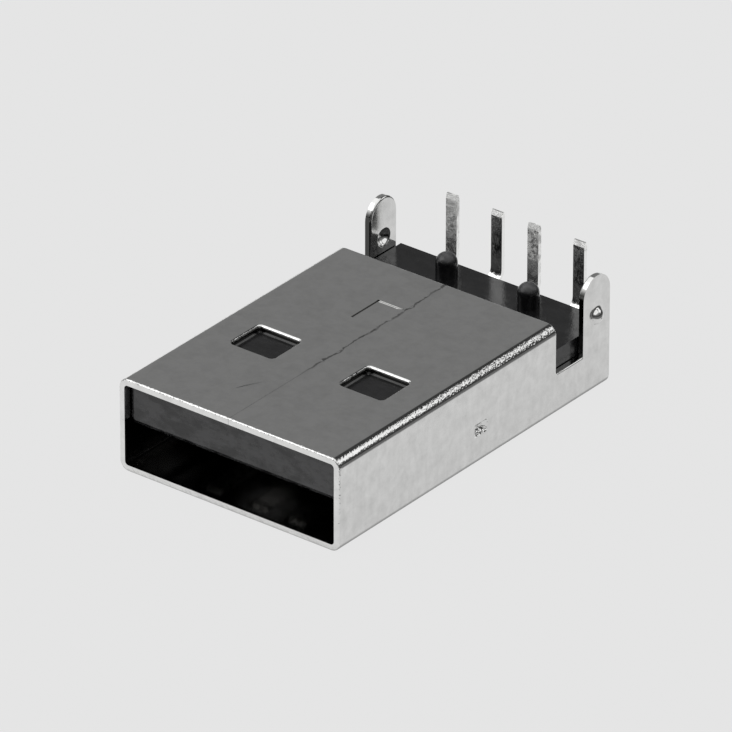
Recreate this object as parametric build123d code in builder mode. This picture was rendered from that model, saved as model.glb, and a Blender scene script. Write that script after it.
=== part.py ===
from build123d import *
from math import cos, radians
import os

# USB type A plug for right-angle mounting at the edge of a circuit board.
# It lies on the closed face of its shell, as photographed: mouth towards -Y, solder legs and tails up.
# Lengths are in millimetres. Distances along the plug are stated back from the mouth.

# Shell: one strip of nickel-plated steel, folded into a tube with its seam along the top
shell_width = 12.0
shell_height = 4.5
sheet = 0.3
bend_radius = 0.48
top_length = 15.2
side_length = 19.0
mouth_round = 0.08
rear_roll = 0.1

# Solder legs, which rise out of the side walls behind a notch for the board's edge
leg_width = 1.9
leg_height = 5.75
notch_floor = 2.1
notch_front_round = 0.15
notch_rear_round = 0.35

# Latching windows, the same pair through the top and through the closed face
window_width = 2.26
window_length = 1.96
window_offset = 2.98
window_back = 6.32
window_corner = 0.15
window_roll = 0.16

# Seam, and the tongue of the right half that is coined into the left half
seam_gap = 0.012
lock_gap = 0.02
lock_reach = 1.5
lock_ramp_start = 0.1
lock_ramp_end = 0.47
lock_front = 10.35
lock_rear = 12.28
lock_press = 0.05

# Round dimples that stand out of the legs, and oblong stakes that hold the insulator
dome_radius = 0.42
dome_foot_radius = 0.16
dome_slope = 60
dome_rim_slope = 8
dome_back = 18.05
dome_centre_height = 3.76
stake_length = 0.9
stake_width = 0.62
stake_depth = 0.2
stake_back = 9.85
stake_height = 1.8
stake_slope = 50

# Insulator: one black moulding with the tongue in front and the board seat behind
side_gap = 0.05
moulding_round = 0.3
tongue_front = 0.32
tongue_half_width = 5.65
tongue_underside = 2.25
tongue_bevel_height = 0.2
tongue_bevel_depth = 0.12
cavity_depth = 8.95
seat_height = 3.0
insulator_length = 19.22
peg_radius = 0.5
peg_spacing = 4.5
peg_back = 18.1
peg_height = 1.13

# Contacts: four strips of phosphor bronze, pushed into slots of the insulator from behind
contact_positions = {
    "power_contact": -3.5,
    "data_minus_contact": -1.0,
    "data_plus_contact": 1.0,
    "ground_contact": 3.5,
}
contact_thickness = 0.2
blade_width = 1.0
blade_front = 3.3
nose_rise = 0.35
nose_bend = 0.15
shoulder_width = 1.3
shoulder_front = 14.2
shoulder_rear = 16.6
tail_width = 0.6
tail_neck = 17.6
tail_back = 20.05
tail_bend = 0.5
tail_tip_height = 0.24
tail_tip_land = 0.08
slot_gap = 0.05

overall_length = tail_back + contact_thickness
mouth_y = -overall_length / 2
inner_half_width = shell_width / 2 - sheet
inner_top = shell_height - sheet


def back(distance):
    """Y of a point that lies this far back from the mouth."""
    return mouth_y + distance


def stake_outline(x):
    """Outline on a side wall's plane, where a stake is pressed in."""
    with BuildSketch(Plane.YZ.offset(x)) as outline:
        with Locations((back(stake_back), stake_height)):
            Rectangle(stake_length, stake_width)
    return outline.sketch


def dome_outline(centre, side):
    """Half outline of a domed dimple with a rounded foot, which stands out sideways from this centre."""
    head = dome_radius * (1 - cos(radians(dome_slope)))
    foot = dome_foot_radius * (cos(radians(dome_rim_slope)) - cos(radians(dome_slope)))
    with BuildSketch(Plane(origin=centre, x_dir=(side, 0, 0), z_dir=(0, 0, 1))) as outline:
        with BuildLine():
            Line((0, 0), (head + foot, 0))
            crown = JernArc((head + foot, 0), (0, 1), dome_radius, dome_slope)
            blend = JernArc(crown @ 1, crown % 1, dome_foot_radius, dome_rim_slope - dome_slope)
            Line(blend @ 1, (0, 0))
        make_face()
    return outline.sketch


# Shell
mouth_plane = Plane(origin=(0, mouth_y, shell_height / 2), x_dir=(-1, 0, 0), z_dir=(0, 1, 0))
leg_y = back(side_length - leg_width / 2)
leg_round_z = leg_height - leg_width / 2

with BuildPart() as shell:
    # Folded tube, with the sheared front edge slightly rounded
    with BuildSketch(mouth_plane):
        RectangleRounded(shell_width, shell_height, bend_radius)
        RectangleRounded(
            shell_width - 2 * sheet, shell_height - 2 * sheet, bend_radius - sheet, mode=Mode.SUBTRACT
        )
    extrude(amount=side_length)
    fillet(shell.faces().sort_by(Axis.Y)[0].outer_wire().edges(), mouth_round)

    # Behind the board's edge the top is cut away, and only the floor and the walls' feet run on
    wall_cut_z = notch_floor + 2 * notch_rear_round
    with BuildSketch(Plane.YZ):
        with Locations((back(top_length), wall_cut_z)):
            Rectangle(side_length, shell_height, align=Align.MIN)
    extrude(amount=shell_width, both=True, mode=Mode.SUBTRACT)

    # Solder legs with round ends, in line with the side walls
    for side in (-1, 1):
        with BuildSketch(Plane.YZ.offset(side * inner_half_width)):
            with Locations((leg_y, wall_cut_z)):
                Rectangle(leg_width, leg_round_z - wall_cut_z, align=(Align.CENTER, Align.MIN))
            with Locations((leg_y, leg_round_z)):
                Circle(leg_width / 2)
        extrude(amount=side * sheet)

    # Notches between the side walls and the legs
    notch_length = side_length - leg_width - top_length
    with BuildSketch(Plane.YZ):
        with BuildLine():
            Polyline(
                (back(top_length), shell_height),
                (back(top_length), notch_floor),
                (back(top_length) + notch_length, notch_floor),
                (back(top_length) + notch_length, shell_height),
                close=True,
            )
        notch = make_face()
        low_corners = notch.vertices().group_by(Axis.Y)[0].sort_by(Axis.X)
        fillet(low_corners[0], notch_front_round)
        fillet(low_corners[-1], notch_rear_round)
    extrude(amount=shell_width, both=True, mode=Mode.SUBTRACT)

    # The punch rolled the inner edge of this cut, all the way round
    inner_wall = shell.faces().filter_by(Axis.X).group_by(Axis.X)[-2][0]
    fillet(inner_wall.edges().sort_by(Axis.Z)[-1], rear_roll)

    # Latching windows, with the punch's rolled edge around the upper pair
    with BuildSketch(Plane.XY):
        with Locations(*[(side * window_offset, back(window_back)) for side in (-1, 1)]):
            RectangleRounded(window_width, window_length, window_corner)
    extrude(amount=shell_height, mode=Mode.SUBTRACT)
    top_face = shell.faces().filter_by(Axis.Z).sort_by(Axis.Z)[-1]
    fillet([edge for wire in top_face.inner_wires() for edge in wire.edges()], window_roll)
    top_face = shell.faces().filter_by(Axis.Z).sort_by(Axis.Z)[-1]
    fillet(top_face.edges().filter_by(Axis.X).sort_by(Axis.Y)[-1], mouth_round)

    # The seam's tongue is coined a step lower than the sheet around it
    with BuildSketch(Plane.XZ.offset(-back(lock_front))):
        with BuildLine():
            Polyline(
                (-lock_ramp_start, shell_height),
                (-lock_ramp_end, shell_height - lock_press),
                (-lock_reach, shell_height - lock_press),
                (-lock_reach, shell_height),
                close=True,
            )
        make_face()
    extrude(amount=lock_front - lock_rear, mode=Mode.SUBTRACT)

    # Seam along the centre line, around the tongue
    with BuildSketch(Plane.XY.offset(inner_top - sheet)):
        for start, end in ((0, lock_front), (lock_rear, top_length)):
            with Locations((0, back((start + end) / 2))):
                Rectangle(seam_gap, end - start)
        with Locations((0, back((lock_front + lock_rear) / 2))):
            Rectangle(2 * lock_reach + lock_gap, lock_rear - lock_front + seam_gap)
            Rectangle(2 * lock_reach - lock_gap, lock_rear - lock_front - seam_gap, mode=Mode.SUBTRACT)
        with Locations((seam_gap / 2, back((lock_front + lock_rear) / 2))):
            Rectangle(shell_width, 2 * lock_reach, align=(Align.MIN, Align.CENTER), mode=Mode.SUBTRACT)
    extrude(amount=2 * sheet, mode=Mode.SUBTRACT)

    # Dimples in the legs are pressed outwards, and stakes in the walls inwards
    for side in (-1, 1):
        outer_x = side * shell_width / 2
        inner_x = side * inner_half_width
        for wall_x, dimple_mode, stake_mode in (
            (outer_x, Mode.ADD, Mode.SUBTRACT),
            (inner_x, Mode.SUBTRACT, Mode.ADD),
        ):
            centre = (wall_x, back(dome_back), dome_centre_height)
            revolve(dome_outline(centre, side), axis=Axis(centre, (side, 0, 0)), mode=dimple_mode)
            extrude(stake_outline(wall_x), amount=-side * stake_depth, taper=stake_slope, mode=stake_mode)
shell.part.label = "shell"


# Insulator
contact_x = list(contact_positions.values())
peg_x = (-peg_spacing / 2, peg_spacing / 2)

with BuildPart() as insulator:
    # Body that fills the shell behind the cavity
    body_plane = Plane(origin=(0, back(cavity_depth), shell_height / 2), x_dir=(-1, 0, 0), z_dir=(0, 1, 0))
    with BuildSketch(body_plane):
        RectangleRounded(2 * (inner_half_width - side_gap), shell_height - 2 * sheet, moulding_round)
    extrude(amount=insulator_length - cavity_depth)

    # Board seat behind the shell's top
    with BuildSketch(Plane.YZ):
        with Locations((back(top_length), seat_height)):
            Rectangle(insulator_length, shell_height, align=Align.MIN)
    extrude(amount=shell_width, both=True, mode=Mode.SUBTRACT)

    # Tongue, bevelled along the lower edge of its nose
    tongue_height = inner_top - tongue_underside
    tongue_plane = Plane(
        origin=(0, back(tongue_front), tongue_underside + tongue_height / 2), x_dir=(-1, 0, 0), z_dir=(0, 1, 0)
    )
    with BuildSketch(tongue_plane):
        RectangleRounded(2 * tongue_half_width, tongue_height, moulding_round)
    extrude(amount=cavity_depth - tongue_front)
    nose_face = insulator.faces().sort_by(Axis.Y)[0]
    lower_edge = nose_face.edges().filter_by(Axis.X).sort_by(Axis.Z)[0]
    chamfer(lower_edge, tongue_bevel_height, tongue_bevel_depth, reference=nose_face)

    # Slots for the contacts: open grooves under the tongue, and closed channels through the body
    with BuildSketch(Plane.XY.offset(tongue_underside)):
        for width, start, end in (
            (blade_width + 2 * slot_gap, blade_front, shoulder_front),
            (shoulder_width, shoulder_front, insulator_length),
        ):
            with Locations(*[(x, back((start + end) / 2)) for x in contact_x]):
                Rectangle(width, end - start)
    extrude(amount=contact_thickness, mode=Mode.SUBTRACT)

    # Deeper pockets at the front of the grooves, for the raised noses
    with BuildSketch(Plane.XY.offset(tongue_underside)):
        with Locations(*[(x, back(blade_front) - contact_thickness) for x in contact_x]):
            Rectangle(blade_width + 2 * slot_gap, 2 * nose_rise, align=(Align.CENTER, Align.MIN))
    extrude(amount=contact_thickness + nose_rise + slot_gap, mode=Mode.SUBTRACT)

    # Hollows that the shell's stakes press into the sides
    for side in (-1, 1):
        extrude(
            stake_outline(side * inner_half_width),
            amount=-side * stake_depth,
            taper=stake_slope,
            mode=Mode.SUBTRACT,
        )

    # Locating pegs with domed ends
    peg_straight = peg_height - peg_radius
    with Locations(*[(x, back(peg_back), seat_height) for x in peg_x]):
        Cylinder(peg_radius, peg_straight, align=(Align.CENTER, Align.CENTER, Align.MIN))
    with Locations(*[(x, back(peg_back), seat_height + peg_straight) for x in peg_x]):
        Sphere(peg_radius)
insulator.part.label = "insulator"


# Contact, made once on the centre line
blade_z = tongue_underside + contact_thickness / 2
tail_centre = tail_back + contact_thickness / 2

with BuildPart() as contact:
    # Strip seen from the side: raised nose, blade, and tail bent upwards
    with BuildSketch(Plane.YZ.offset(-shoulder_width / 2)):
        with BuildLine():
            FilletPolyline(
                (back(blade_front), blade_z + nose_rise),
                (back(blade_front + nose_rise), blade_z),
                (back(tail_centre), blade_z),
                (back(tail_centre), leg_height),
                radius=[nose_bend + contact_thickness / 2, tail_bend + contact_thickness / 2],
            )
        trace(line_width=contact_thickness)
    extrude(amount=shoulder_width)

    # The same strip seen from above: wide shoulders that grip the slot, and a narrow tail
    with BuildSketch():
        for width, start, end in (
            (blade_width, 0, shoulder_front),
            (shoulder_width, shoulder_front, shoulder_rear),
            (blade_width, shoulder_rear, tail_neck),
            (tail_width, tail_neck, overall_length),
        ):
            with Locations((0, back((start + end) / 2))):
                Rectangle(width, end - start)
    extrude(amount=leg_height, mode=Mode.INTERSECT)

    # Wedge at the end of the tail
    tip_face = contact.faces().sort_by(Axis.Z)[-1]
    chamfer(
        tip_face.edges().filter_by(Axis.X),
        (contact_thickness - tail_tip_land) / 2,
        tail_tip_height,
        reference=tip_face,
    )
contact.part.label = "contact"

os.makedirs("parts", exist_ok=True)
export_step(shell.part, "parts/shell.step")
export_step(insulator.part, "parts/insulator.step")
for name, x in contact_positions.items():
    piece = contact.part.moved(Location((x, 0, 0)))
    piece.label = name
    export_step(piece, f"parts/{name}.step")
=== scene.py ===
import bpy
from math import cos, pi, radians, sin
from mathutils import Matrix, Vector


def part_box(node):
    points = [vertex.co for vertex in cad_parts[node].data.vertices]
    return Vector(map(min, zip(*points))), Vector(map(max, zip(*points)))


# A board-mounted plug: folded nickel-plated shell, black moulded insulator and four tinned contacts.
# Lengths are in metres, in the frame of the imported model; mm turns a real size in millimetres into them.

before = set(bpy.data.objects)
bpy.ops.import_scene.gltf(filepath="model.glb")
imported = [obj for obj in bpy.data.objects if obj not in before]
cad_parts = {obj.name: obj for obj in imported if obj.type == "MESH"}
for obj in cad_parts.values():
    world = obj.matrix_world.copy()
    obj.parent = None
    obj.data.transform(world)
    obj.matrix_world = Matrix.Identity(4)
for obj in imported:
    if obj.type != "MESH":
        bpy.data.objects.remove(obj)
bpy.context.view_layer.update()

mm = 0.001
sheet = 0.3 * mm
side_play = 0.05 * mm
mouth_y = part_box("shell")[0].y
insulator_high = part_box("insulator")[1]
shell_top = insulator_high.z + sheet
shell_half_width = insulator_high.x + side_play + sheet

# Where the finishes change, in millimetres back from the mouth
crease_back = 4.4
uneven_seam_back = 4.5
windows_back = 8
stakes_back = 9.85
blades_back = 10
# Where the painted shade inside the shell ends
tube_back = 13.5
legs_back = 16
pegs_back = 17

# Colours, as they look in daylight; the inside of the shell and the blades in the mouth are also darker
# as painted shade, and the peg ends paler as a painted highlight
nickel_colour = "#D8D8D7"
dulled_nickel_colour = "#BEBEBD"
bare_steel_colour = "#454544"
painted_shade_inside_colour = "#A8A8A7"
plastic_colour = "#0D0D0E"
flow_mark_and_painted_highlight_colour = "#434344"
tin_colour = "#EDEDEC"
rubbed_tin_and_painted_shade_colour = "#72716F"
floor_colour = "#E5E5E5"

# The camera, as the photograph was taken: a long lens, looking down on the plug from its front right
photo_width = 732
lens_in_pixels = 10777.6
view_azimuth = 37.97
view_elevation = 28.82
view_roll = -0.10
view_distance = 464.89 * mm
view_target = Vector((0, mouth_y + 9 * mm, 2.25 * mm))
target_right = 0.3076 * mm
target_up = 0.7944 * mm


def back(distance):
    """The place along Y that is this many millimetres back from the mouth."""
    return mouth_y + distance * mm


def linear(hex_colour):
    """An sRGB hex colour as linear RGBA."""
    parts = [int(hex_colour[i:i + 2], 16) / 255 for i in (1, 3, 5)]
    return [c / 12.92 if c <= 0.04045 else ((c + 0.055) / 1.055) ** 2.4 for c in parts] + [1.0]


def add(tree, kind, sockets=None, **settings):
    """Adds a node with its settings; a socket takes a value, or another node's output."""
    node = tree.nodes.new(kind)
    for name, value in settings.items():
        setattr(node, name, value)
    for name, value in (sockets or {}).items():
        if isinstance(value, bpy.types.NodeSocket):
            tree.links.new(value, node.inputs[name])
        else:
            node.inputs[name].default_value = value
    return node


def new_material(name):
    """An empty material, and its tree."""
    material = bpy.data.materials.new(name)
    material.use_nodes = True
    material.node_tree.nodes.clear()
    return material, material.node_tree


def finish_material(tree, surface):
    """Links the surface to the material's output."""
    add(tree, "ShaderNodeOutputMaterial", {"Surface": surface})


def place_on(tree):
    """The place on the piece, in the frame."""
    return add(tree, "ShaderNodeTexCoord").outputs["Object"]


def along(tree, axis):
    """The place along one axis."""
    return add(tree, "ShaderNodeSeparateXYZ", {"Vector": place_on(tree)}).outputs[axis]


def facing(tree, axis):
    """How far the surface faces along one axis, from -1 to 1."""
    normal = add(tree, "ShaderNodeTexCoord").outputs["Normal"]
    return add(tree, "ShaderNodeSeparateXYZ", {"Vector": normal}).outputs[axis]


def band(tree, value, start, end, low=0.0, high=1.0):
    """low at start and high at end, with a smooth change between; start may be the larger one."""
    return add(
        tree,
        "ShaderNodeMapRange",
        {"Value": value, "From Min": start, "From Max": end, "To Min": low, "To Max": high},
        interpolation_type="SMOOTHSTEP",
    ).outputs["Result"]


def combine(tree, operation, first, second):
    """Two values, or a value and a number, put together by one operation."""
    return add(tree, "ShaderNodeMath", {0: first, 1: second}, operation=operation).outputs["Value"]


def absolute(tree, value):
    """A value without its sign."""
    return add(tree, "ShaderNodeMath", {0: value}, operation="ABSOLUTE").outputs["Value"]


def product(tree, first, *others):
    """All the values multiplied, which is where every mask among them holds."""
    for other in others:
        first = combine(tree, "MULTIPLY", first, other)
    return first


def stretch(tree, vector, factors):
    """A vector with each axis multiplied by its own factor."""
    sockets = {0: vector, 1: factors}
    return add(tree, "ShaderNodeVectorMath", sockets, operation="MULTIPLY").outputs["Vector"]


def noise(tree, place, size, detail, roughness=0.5):
    """Noise from 0 to 1 whose lumps are about this size."""
    sockets = {"Vector": place, "Scale": 1 / size, "Detail": detail, "Roughness": roughness}
    return add(tree, "ShaderNodeTexNoise", sockets).outputs["Fac"]


def lumps(tree, place, size, detail):
    """Noise about zero, so that a mask over it makes no step of its own in a relief."""
    return combine(tree, "SUBTRACT", noise(tree, place, size, detail), 0.5)


def blend(tree, value, start, start_colour, end, end_colour):
    """One colour at start and another at end."""
    node = add(tree, "ShaderNodeValToRGB", {"Fac": value})
    for element, position, hex_colour in zip(
        node.color_ramp.elements, (start, end), (start_colour, end_colour)
    ):
        element.position = position
        element.color = linear(hex_colour)
    return node.outputs["Color"]


def relief(tree, height, depth, under=None):
    """A normal that shows this height, where 1 stands for this depth, on top of another relief."""
    sockets = {"Height": height, "Strength": 1.0, "Distance": depth}
    if under:
        sockets["Normal"] = under
    return add(tree, "ShaderNodeBump", sockets).outputs["Normal"]


def on_top(tree):
    """The top face of the shell, where its seam is."""
    return band(tree, along(tree, "Z"), shell_top - 0.2 * mm, shell_top - 0.1 * mm)


def grain_of_bends(tree):
    """Orange peel: grains that show along the bends, most at the rear, and round the cut edge of the mouth.
    The legs weren't bent."""
    normal = add(tree, "ShaderNodeTexCoord").outputs["Normal"]
    # The fourth powers of the normal's axes add up to 1 on every flat, and to less where the sheet turns
    squares = stretch(tree, normal, normal)
    flatness = add(
        tree, "ShaderNodeVectorMath", {0: squares, 1: squares}, operation="DOT_PRODUCT"
    ).outputs["Value"]
    y = along(tree, "Y")
    on_bends = product(
        tree,
        band(tree, flatness, 0.74, 0.6),
        band(tree, y, back(1), back(12), 0.4, 1.0),
        band(tree, y, back(legs_back), back(legs_back - 0.4)),
    )
    on_mouth = band(tree, y, back(0.2), back(0.05), 0.0, 0.9)
    grain = lumps(tree, place_on(tree), 0.115 * mm, 1.0)
    return combine(tree, "MULTIPLY", grain, combine(tree, "MAXIMUM", on_bends, on_mouth))


def torn_stakes(tree):
    """The stakes' pockets, which the punch tore and creased, the same way on both walls."""
    stake_height = 1.8 * mm
    stake_radius = 0.42 * mm
    centre = (0, back(stakes_back), stake_height)
    from_stake = add(
        tree, "ShaderNodeVectorMath", {0: place_on(tree), 1: centre}, operation="SUBTRACT"
    ).outputs["Vector"]
    # X is left out, so that both walls count, and Y is shortened, because the pocket is longer that way
    off_stake = stretch(tree, from_stake, (0, 0.8, 1.0))
    reach = add(tree, "ShaderNodeVectorMath", {0: off_stake}, operation="LENGTH").outputs["Value"]
    in_pocket = band(tree, reach, stake_radius, stake_radius - 0.12 * mm)
    return combine(tree, "MULTIPLY", lumps(tree, off_stake, 0.3 * mm, 1.0), in_pocket)


def uneven_seam(tree):
    """The edges of the seam, which meet well at the mouth and unevenly further back: the height of the
    lumps beside it, and the line of bare steel that wanders along it."""
    x = along(tree, "X")
    place = place_on(tree)
    uneven = band(tree, along(tree, "Y"), back(uneven_seam_back), back(uneven_seam_back + 2))
    on_edges = product(tree, on_top(tree), uneven)
    heaped = lumps(tree, place, 0.3 * mm, 2.0)
    height = product(tree, heaped, band(tree, absolute(tree, x), 0.12 * mm, 0.03 * mm), on_edges)
    wander = combine(tree, "MULTIPLY", lumps(tree, place, 0.6 * mm, 3.0), 0.6 * mm)
    from_line = absolute(tree, combine(tree, "ADD", x, wander))
    line = band(tree, from_line, 0.07 * mm, 0.02 * mm, 0.0, 0.7)
    bare = product(tree, line, on_edges, band(tree, heaped, -0.2, 0.05, 0.3, 1.0))
    return height, bare


def crease_near_mouth(tree):
    """A shallow step beside the seam, from handling, along a slanting line with a bow in it."""
    bow_left = 1.53 * mm
    bow_length = 1.24 * mm
    bow_height = 0.27 * mm
    slant = 1.5
    half_width = 0.14 * mm
    x = along(tree, "X")
    y = along(tree, "Y")
    turn = combine(tree, "MULTIPLY", combine(tree, "ADD", x, bow_left), pi / bow_length)
    bow = add(tree, "ShaderNodeMath", {0: turn}, operation="SINE").outputs["Value"]
    line = combine(tree, "ADD", combine(tree, "MULTIPLY", bow, bow_height), back(crease_back))
    line = combine(tree, "ADD", combine(tree, "MULTIPLY", x, slant), line)
    return product(
        tree,
        band(tree, combine(tree, "SUBTRACT", y, line), -half_width, half_width),
        on_top(tree),
        band(tree, x, -1.8 * mm, -1.3 * mm),
        band(tree, x, 0.2 * mm, -0.2 * mm),
        band(tree, y, back(crease_back + 1.6), back(crease_back + 0.8)),
    )


def sheared_sides(tree):
    """The sheared sides of the windows and the lock, and the legs' front edges, which the plating hardly
    covers."""
    y = along(tree, "Y")
    z = along(tree, "Z")
    facing_x = facing(tree, "X")
    # More of the rolled edge is bare on the sides that face +X
    rolled = combine(
        tree, "SUBTRACT", absolute(tree, facing(tree, "Z")), combine(tree, "MULTIPLY", facing_x, 0.25)
    )
    at_windows = band(tree, y, back(windows_back + 0.2), back(windows_back))
    at_lock = band(tree, facing_x, 0.5, 0.8)
    openings = product(
        tree,
        combine(tree, "MAXIMUM", at_windows, at_lock),
        band(tree, rolled, 0.72, 0.58),
        band(tree, absolute(tree, along(tree, "X")), 4.6 * mm, 4.4 * mm),
        band(tree, z, shell_top - 0.26 * mm, shell_top - 0.23 * mm),
        band(tree, y, back(0.8), back(1)),
    )
    leg_edges = product(
        tree,
        band(tree, facing(tree, "Y"), -0.75, -0.95),
        band(tree, y, back(legs_back - 0.5), back(legs_back)),
        band(tree, z, 2.2 * mm, 2.6 * mm),
    )
    return combine(tree, "MAXIMUM", openings, leg_edges)


def painted_shade_inside_tube(tree):
    """The inside of the shell, which is darkened there as painted shade."""
    inner_half_width = shell_half_width - sheet
    off_centre = absolute(tree, along(tree, "X"))
    y = along(tree, "Y")
    z = along(tree, "Z")
    return product(
        tree,
        band(tree, off_centre, inner_half_width + 0.1 * mm, inner_half_width + 0.04 * mm),
        band(tree, z, shell_top - sheet - 0.01 * mm, shell_top - sheet - 0.04 * mm),
        band(tree, z, sheet - 0.1 * mm, sheet - 0.04 * mm),
        band(tree, y, back(0.05), back(0.12)),
        band(tree, y, back(tube_back + 0.5), back(tube_back)),
    )


def nickel_plated_steel():
    """Cold-rolled sheet, stamped, folded and then plated bright nickel: a mirror on the flats, with stains
    that dull it a little, and faint streaks that the folding die drew down the walls."""
    material, tree = new_material("nickel_plated_folded_steel")
    place = place_on(tree)
    stains = noise(tree, place, 0.6 * mm, 6.0, 0.65)
    drawn = noise(tree, stretch(tree, place, (1.0, 1.0, 0.15)), 0.22 * mm, 2.0)
    streaks = product(tree, drawn, band(tree, absolute(tree, facing(tree, "X")), 0.8, 0.95))
    dulled = combine(tree, "ADD", combine(tree, "MULTIPLY", streaks, 0.25), stains)
    seam_height, bare_seam = uneven_seam(tree)
    bare = combine(tree, "MAXIMUM", sheared_sides(tree), bare_seam)
    colour = blend(tree, dulled, 0.4, nickel_colour, 1.0, dulled_nickel_colour)
    # Inside the shell the colour is darkened as painted shade; the sheared sides and the seam are bare
    # steel
    for part, painted_shade_and_bare_colour in ((painted_shade_inside_tube(tree), painted_shade_inside_colour), (bare, bare_steel_colour)):
        colour = add(
            tree, "ShaderNodeMixRGB", {"Fac": part, "Color1": colour, "Color2": linear(painted_shade_and_bare_colour)}
        ).outputs["Color"]

    # From the sheet's waviness and its fine grain up to what the tools did to it
    normal = None
    for height, depth in (
        (noise(tree, place, 1.5 * mm, 1.0), 0.006 * mm),
        (noise(tree, place, 0.12 * mm, 2.0), 0.0006 * mm),
        (seam_height, 0.07 * mm),
        (crease_near_mouth(tree), 0.021 * mm),
        (torn_stakes(tree), 0.12 * mm),
        (grain_of_bends(tree), 0.04 * mm),
    ):
        normal = relief(tree, height, depth, normal)
    surface = add(
        tree,
        "ShaderNodeBsdfPrincipled",
        {
            "Base Color": colour,
            "Metallic": 1.0,
            "Roughness": band(tree, stains, 0.3, 0.7, 0.09, 0.13),
            "Normal": normal,
        },
    )
    finish_material(tree, surface.outputs["BSDF"])
    return material


def moulded_black_plastic():
    """Glass-filled polyester, moulded against polished steel: black and glossy, with flow marks, which are
    palest on the nose of the tongue, where the moulding was filled last, and on the ends of the pegs, which
    also show a little wear and the glass fibres. The paler colour on the peg ends is partly a painted
    highlight on their domes."""
    material, tree = new_material("moulded_black_polyester")
    place = place_on(tree)
    y = along(tree, "Y")
    peg_end = insulator_high.z
    on_nose = band(tree, y, back(0.6), back(0.45), 0.1, 0.5)
    on_peg_end = product(
        tree,
        band(tree, along(tree, "Z"), peg_end - 0.5 * mm, peg_end - 0.15 * mm),
        band(tree, y, back(pegs_back - 0.5), back(pegs_back)),
    )
    marks = noise(tree, stretch(tree, place, (0.5, 1.0, 1.0)), 0.5 * mm, 6.0, 0.65)
    pale = product(tree, band(tree, marks, 0.4, 0.62), combine(tree, "MAXIMUM", on_nose, on_peg_end))
    # The peg ends are paler partly from wear and partly as a painted highlight on their domes
    wear_and_painted_highlight = combine(tree, "MULTIPLY", on_peg_end, 0.4)
    marks_and_painted_highlight = combine(tree, "ADD", pale, wear_and_painted_highlight)
    flow = noise(tree, place, 0.55 * mm, 5.0, 0.6)
    matt = combine(tree, "MULTIPLY", wear_and_painted_highlight, 0.5)
    showing = combine(tree, "ADD", combine(tree, "MULTIPLY", on_peg_end, 2.5), 1.0)
    fibres = product(tree, lumps(tree, place, 0.12 * mm, 2.0), showing)
    surface = add(
        tree,
        "ShaderNodeBsdfPrincipled",
        {
            "Base Color": blend(tree, marks_and_painted_highlight, 0.0, plastic_colour, 1.0, flow_mark_and_painted_highlight_colour),
            "Roughness": combine(tree, "ADD", band(tree, flow, 0.35, 0.65, 0.1, 0.24), matt),
            "IOR": 1.46,
            "Normal": relief(tree, fibres, 0.004 * mm, relief(tree, flow, 0.012 * mm)),
        },
    )
    finish_material(tree, surface.outputs["BSDF"])
    return material


def tinned_bronze(name, dulled_above, lower_roughness, upper_roughness):
    """Phosphor bronze strip, tin-plated and bright, with the die's fine marks. Tin dulls as it is handled,
    so the strip is rougher above this height, and it is rubbed off the blade by mating. The blade's darker
    colour is partly that rubbed tin and partly painted shade inside the mouth."""
    material, tree = new_material(name + "_tinned_phosphor_bronze")
    place = place_on(tree)
    marks = noise(tree, place, 0.2 * mm, 3.0, 0.6)
    ragged_height = combine(tree, "ADD", along(tree, "Z"), combine(tree, "MULTIPLY", marks, 0.3 * mm))
    handled = band(
        tree, ragged_height, dulled_above, dulled_above + 0.15 * mm, lower_roughness, upper_roughness
    )
    patches = band(tree, noise(tree, place, 0.3 * mm, 4.0, 0.6), 0.4, 0.6, 0.6, 1.3)
    # The blades in the mouth are darker: partly rubbed tin, partly painted shade inside the mouth
    mated_and_shaded = band(tree, along(tree, "Y"), back(blades_back + 2), back(blades_back))
    surface = add(
        tree,
        "ShaderNodeBsdfPrincipled",
        {
            "Base Color": blend(tree, mated_and_shaded, 0.0, tin_colour, 1.0, rubbed_tin_and_painted_shade_colour),
            "Metallic": 1.0,
            "Roughness": combine(tree, "MULTIPLY", handled, patches),
            "Normal": relief(tree, marks, 0.02 * mm),
        },
    )
    finish_material(tree, surface.outputs["BSDF"])
    return material


def dress(node, material):
    """Gives a node of the frame its finish."""
    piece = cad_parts[node]
    piece.data.materials.clear()
    piece.data.materials.append(material)


dress("shell", nickel_plated_steel())
dress("insulator", moulded_black_plastic())
for contact, dulled_above, lower_roughness, upper_roughness in (
    ("power_contact", 4.0 * mm, 0.36, 0.6),
    ("data_minus_contact", 5.3 * mm, 0.18, 0.26),
    ("data_plus_contact", 4.1 * mm, 0.34, 0.6),
    ("ground_contact", 5.3 * mm, 0.2, 0.3),
):
    dress(contact, tinned_bronze(contact, dulled_above, lower_roughness, upper_roughness))


def make_camera():
    """A camera at the place that the photograph was taken from."""
    azimuth = radians(view_azimuth)
    elevation = radians(view_elevation)
    roll = radians(view_roll)
    ahead = Vector((-sin(azimuth) * cos(elevation), cos(azimuth) * cos(elevation), -sin(elevation)))
    level_right = Vector((cos(azimuth), sin(azimuth), 0))
    level_up = level_right.cross(ahead)
    right = level_right * cos(roll) - level_up * sin(roll)
    up = level_up * cos(roll) + level_right * sin(roll)
    place = view_target + right * target_right + up * target_up - ahead * view_distance
    data = bpy.data.cameras.new("photo_camera")
    data.sensor_width = 36
    data.lens = lens_in_pixels / photo_width * data.sensor_width
    data.clip_start = 0.01
    data.clip_end = 20
    camera = bpy.data.objects.new("photo_camera", data)
    bpy.context.scene.collection.objects.link(camera)
    turn = Matrix((right, up, -ahead)).transposed()
    camera.matrix_world = Matrix.Translation(place) @ turn.to_4x4()
    bpy.context.scene.camera = camera


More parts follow.
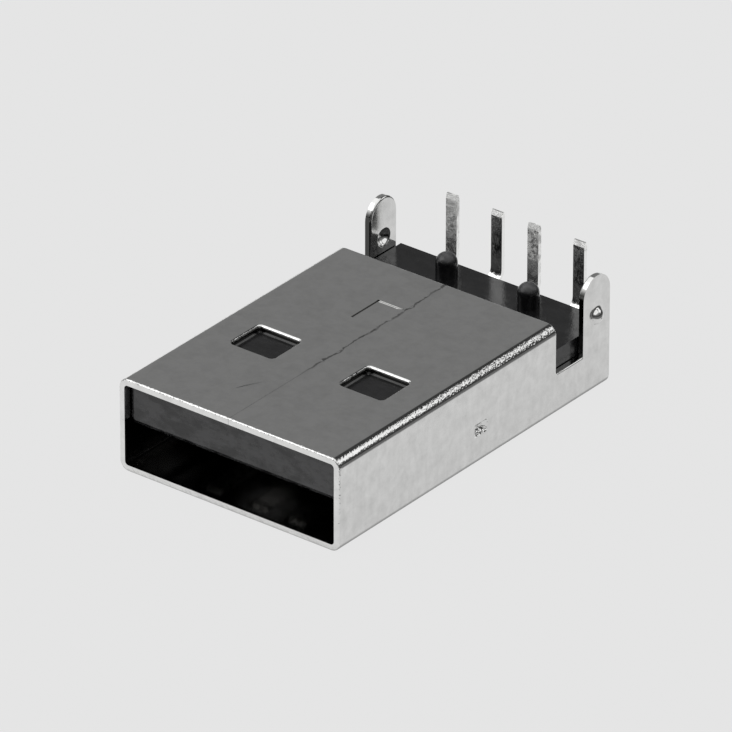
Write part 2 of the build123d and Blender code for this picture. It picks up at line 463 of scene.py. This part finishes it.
def softbox(name, direction, distance, width, height, brightness):
    """A rectangular lamp that faces the plug. brightness is the radiance, where 1 is white paper."""
    toward = Vector(direction).normalized()
    data = bpy.data.lights.new(name, "AREA")
    data.shape = "RECTANGLE"
    data.size = width
    data.size_y = height
    data.energy = brightness * pi * width * height
    lamp = bpy.data.objects.new(name, data)
    bpy.context.scene.collection.objects.link(lamp)
    turn = toward.to_track_quat("Z", "Y").to_matrix()
    lamp.matrix_world = Matrix.Translation(toward * distance) @ turn.to_4x4()
    lamp.visible_camera = False


def floor_glow_with_painted_light(tree):
    """How bright the floor looks in metal, painted into its glow: a painted pool of light, brightest in
    front toward the lamp, a painted shadow close to the plug, and dark far to its right and behind it."""
    lamp_way = (-0.615, -0.788, 0)
    dark = 0.08
    x = along(tree, "X")
    y = along(tree, "Y")
    to_lamp = add(
        tree, "ShaderNodeVectorMath", {0: place_on(tree), 1: lamp_way}, operation="DOT_PRODUCT"
    ).outputs["Value"]
    from_side = combine(tree, "SUBTRACT", absolute(tree, x), shell_half_width)
    from_end = combine(tree, "SUBTRACT", absolute(tree, y), -mouth_y)
    clear_of_plug = combine(tree, "MAXIMUM", from_side, from_end)
    behind = band(tree, y, 22 * mm, 28 * mm, 1.0, dark)
    on_left = band(tree, x, -6 * mm, -10 * mm)
    return product(
        # A painted pool of light toward the lamp, a painted shadow close to the plug, and darkness far
        # right and behind
        tree,
        band(tree, to_lamp, 0, 14 * mm, 1.16, 1.33),
        band(tree, clear_of_plug, -0.1 * mm, 0.25 * mm, 0.4, 1.0),
        band(tree, x, 12.5 * mm, 15 * mm, 1.0, dark),
        combine(tree, "MAXIMUM", behind, on_left),
    )


def make_floor():
    """A plain pale floor that keeps a soft shadow, just clear of the closed face of the plug, so that the
    two don't share a plane."""
    half_width = 1.5
    height = -0.01 * mm
    corners = [(-1, -1), (1, -1), (1, 1), (-1, 1)]
    points = [(x * half_width, y * half_width, height) for x, y in corners]
    mesh = bpy.data.meshes.new("floor")
    mesh.from_pydata(points, [], [(0, 1, 2, 3)])
    floor = bpy.data.objects.new("floor", mesh)
    bpy.context.scene.collection.objects.link(floor)
    material, tree = new_material("pale_paper")
    ray = add(tree, "ShaderNodeLightPath")
    brightness = add(
        tree, "ShaderNodeMix", {"Factor": ray.outputs["Is Glossy Ray"], "A": 1.0, "B": floor_glow_with_painted_light(tree)}
    ).outputs["Result"]
    paper = add(tree, "ShaderNodeBsdfDiffuse", {"Color": linear(floor_colour)}).outputs["BSDF"]
    glow = add(tree, "ShaderNodeEmission", {"Color": linear(floor_colour), "Strength": brightness})
    rays_and_shares = (("Is Camera Ray", 0.98), ("Is Glossy Ray", 0.8), ("Is Transmission Ray", 0.8))
    share = 0.0
    for kind, part in rays_and_shares:
        share = combine(tree, "MAXIMUM", combine(tree, "MULTIPLY", ray.outputs[kind], part), share)
    mixed = add(tree, "ShaderNodeMixShader", {"Fac": share, 1: paper, 2: glow.outputs["Emission"]})
    finish_material(tree, mixed.outputs["Shader"])
    mesh.materials.append(material)


def make_world():
    """Studio walls: grey to the left, elsewhere dark at the horizon and grey above it, and pale where the
    camera sees past the floor."""
    left_wall_height = 0.45
    stops = ((0.0, 0.04), (0.2, 0.08), (0.4, 0.25), (0.55, 0.24), (0.66, 0.05), (0.78, 0.05), (0.95, 0.1))
    world = bpy.data.worlds.new("studio")
    bpy.context.scene.world = world
    world.use_nodes = True
    tree = world.node_tree
    tree.nodes.clear()
    direction = add(tree, "ShaderNodeTexCoord").outputs["Generated"]
    axes = add(tree, "ShaderNodeSeparateXYZ", {"Vector": direction})
    to_left = band(tree, axes.outputs["X"], -0.2, -0.45)
    height = add(
        tree, "ShaderNodeMix", {"Factor": to_left, "A": axes.outputs["Z"], "B": left_wall_height}
    ).outputs["Result"]
    walls = add(tree, "ShaderNodeValToRGB", {"Fac": height})
    ramp = walls.color_ramp
    while len(ramp.elements) < len(stops):
        ramp.elements.new(0.5)
    for element, (position, grey) in zip(ramp.elements, stops):
        element.position = position
        element.color = (grey, grey, grey, 1)
    unseen = add(tree, "ShaderNodeBackground", {"Color": walls.outputs["Color"]}).outputs["Background"]
    backdrop = add(tree, "ShaderNodeBackground", {"Color": linear(floor_colour)}).outputs["Background"]
    ray = add(tree, "ShaderNodeLightPath")
    mixed = add(tree, "ShaderNodeMixShader", {"Fac": ray.outputs["Is Camera Ray"], 1: unseen, 2: backdrop})
    add(tree, "ShaderNodeOutputWorld", {"Surface": mixed.outputs["Shader"]})


make_camera()
make_floor()
make_world()
softbox("front_left_softbox", (-0.61, -0.59, 0.53), distance=0.45, width=0.36, height=0.5, brightness=1.08)
softbox("rear_right_softbox", (0.46, 0.69, 0.53), distance=0.45, width=0.26, height=0.19, brightness=1.1)
softbox("overhead_softbox", (0, -0.17, 1), distance=0.61, width=1.7, height=1.02, brightness=1.1)
softbox("spot", (0.11, -0.60, 0.79), distance=0.6, width=0.04, height=0.04, brightness=10)

bpy.context.scene.view_settings.view_transform = "Standard"
